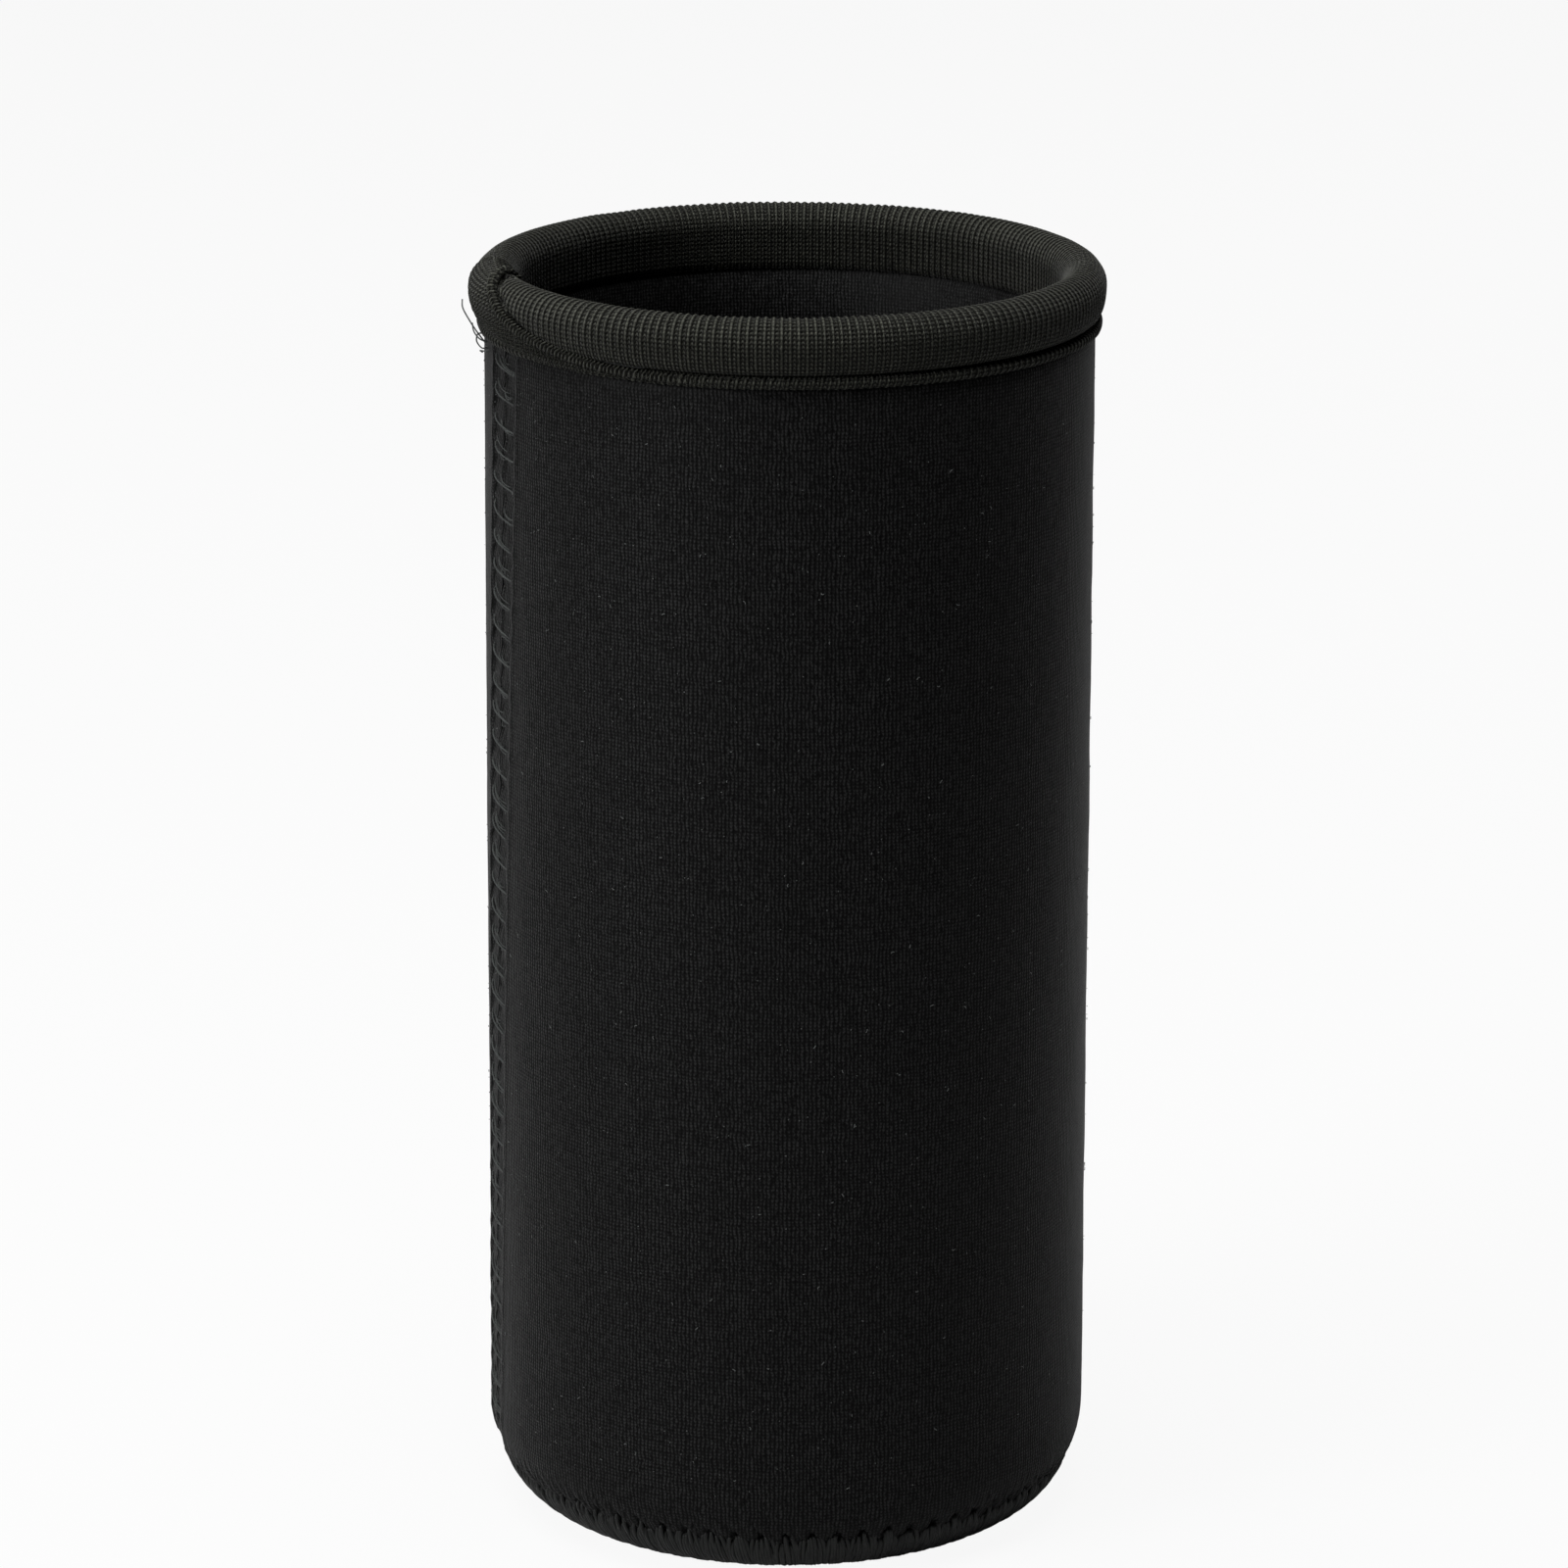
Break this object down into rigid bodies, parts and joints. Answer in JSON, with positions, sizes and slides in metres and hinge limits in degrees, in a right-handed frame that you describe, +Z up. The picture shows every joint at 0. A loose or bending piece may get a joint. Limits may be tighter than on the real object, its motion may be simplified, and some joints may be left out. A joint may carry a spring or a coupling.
{
  "type": "slim can cooler",
  "caption": "Insulating sleeve for a slim drinks can: a black knit-faced foam tube with a sewn-in flat base, a stitched side seam and a folded tape round the open rim.",
  "frame": {"origin": "centre of the base disc's underside, which rests on the table", "axes": "+Z up through the open mouth, -Y towards the viewer, and the side seam near -X"},
  "size_m": [0.0668, 0.066, 0.1366],
  "materials": {
    "neoprene": "fine matt jersey knit on foam rubber, black",
    "knit_tape": "ribbed knit tape, black",
    "thread": "sewing thread, greyish black"
  },
  "bodies": {
    "root": {"wall_panel": "neoprene", "base_disc": "neoprene", "rim_binding": "knit_tape", "side_seam_thread": "thread", "foot_seam_thread": "thread", "binding_thread": "thread"}
  },
  "joints": []
}
